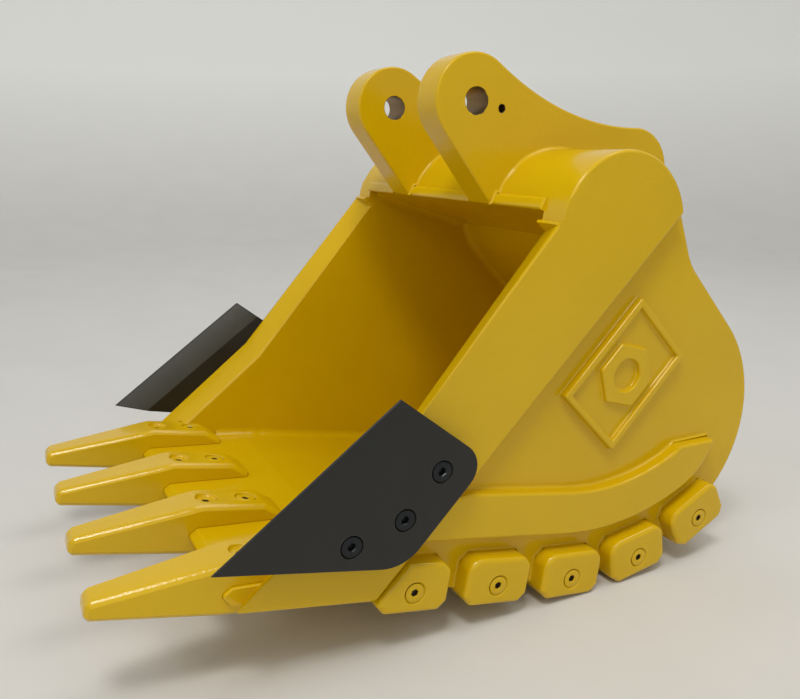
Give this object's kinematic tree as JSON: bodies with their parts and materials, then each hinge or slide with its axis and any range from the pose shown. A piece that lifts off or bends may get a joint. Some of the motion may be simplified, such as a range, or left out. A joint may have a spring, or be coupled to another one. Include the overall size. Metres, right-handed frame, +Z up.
{
  "type": "excavator bucket",
  "caption": "Open-fronted digging bucket of welded plate with hitch ears, bolt-on teeth, side cutters, side wear plates and heel shrouds.",
  "frame": {"origin": "centre of the front pin bore, midway between the two hitch ears", "axes": "+X along the pin bores, across the bucket; teeth point to -Y; +Z up, as the bucket stands on its heel shrouds"},
  "size_m": [0.182, 0.2765, 0.2082],
  "materials": {
    "yellow_enamel": "glossy yellow enamel over steel, with a light orange peel",
    "black_coating": "satin black coating over steel",
    "painted_screws": "countersunk socket screws under the same yellow enamel",
    "black_screws": "black oxide steel screws"
  },
  "bodies": {
    "root": {"side_plate_right": "yellow_enamel", "side_plate_left": "yellow_enamel", "side_bar_right": "yellow_enamel", "side_bar_left": "yellow_enamel", "wrapper": "yellow_enamel", "lip": "yellow_enamel", "top_beam_cover": "yellow_enamel", "top_beam_floor": "yellow_enamel", "ear_right": "yellow_enamel", "ear_left": "yellow_enamel", "tooth_1": "yellow_enamel", "tooth_2": "yellow_enamel", "tooth_3": "yellow_enamel", "tooth_4": "yellow_enamel", "tooth_screws": "painted_screws", "side_cutter_right": "black_coating", "side_cutter_left": "black_coating", "cutter_screws_right": "black_screws", "cutter_screws_left": "black_screws", "side_wear_plate_right": "yellow_enamel", "side_wear_plate_left": "yellow_enamel", "heel_shroud_right_1": "yellow_enamel", "heel_shroud_right_2": "yellow_enamel", "heel_shroud_right_3": "yellow_enamel", "heel_shroud_right_4": "yellow_enamel", "heel_shroud_right_5": "yellow_enamel", "heel_shroud_left_1": "yellow_enamel", "heel_shroud_left_2": "yellow_enamel", "heel_shroud_left_3": "yellow_enamel", "heel_shroud_left_4": "yellow_enamel", "heel_shroud_left_5": "yellow_enamel", "shroud_screws_right": "painted_screws", "shroud_screws_left": "painted_screws", "badge_right": "yellow_enamel", "badge_left": "yellow_enamel"}
  },
  "joints": []
}
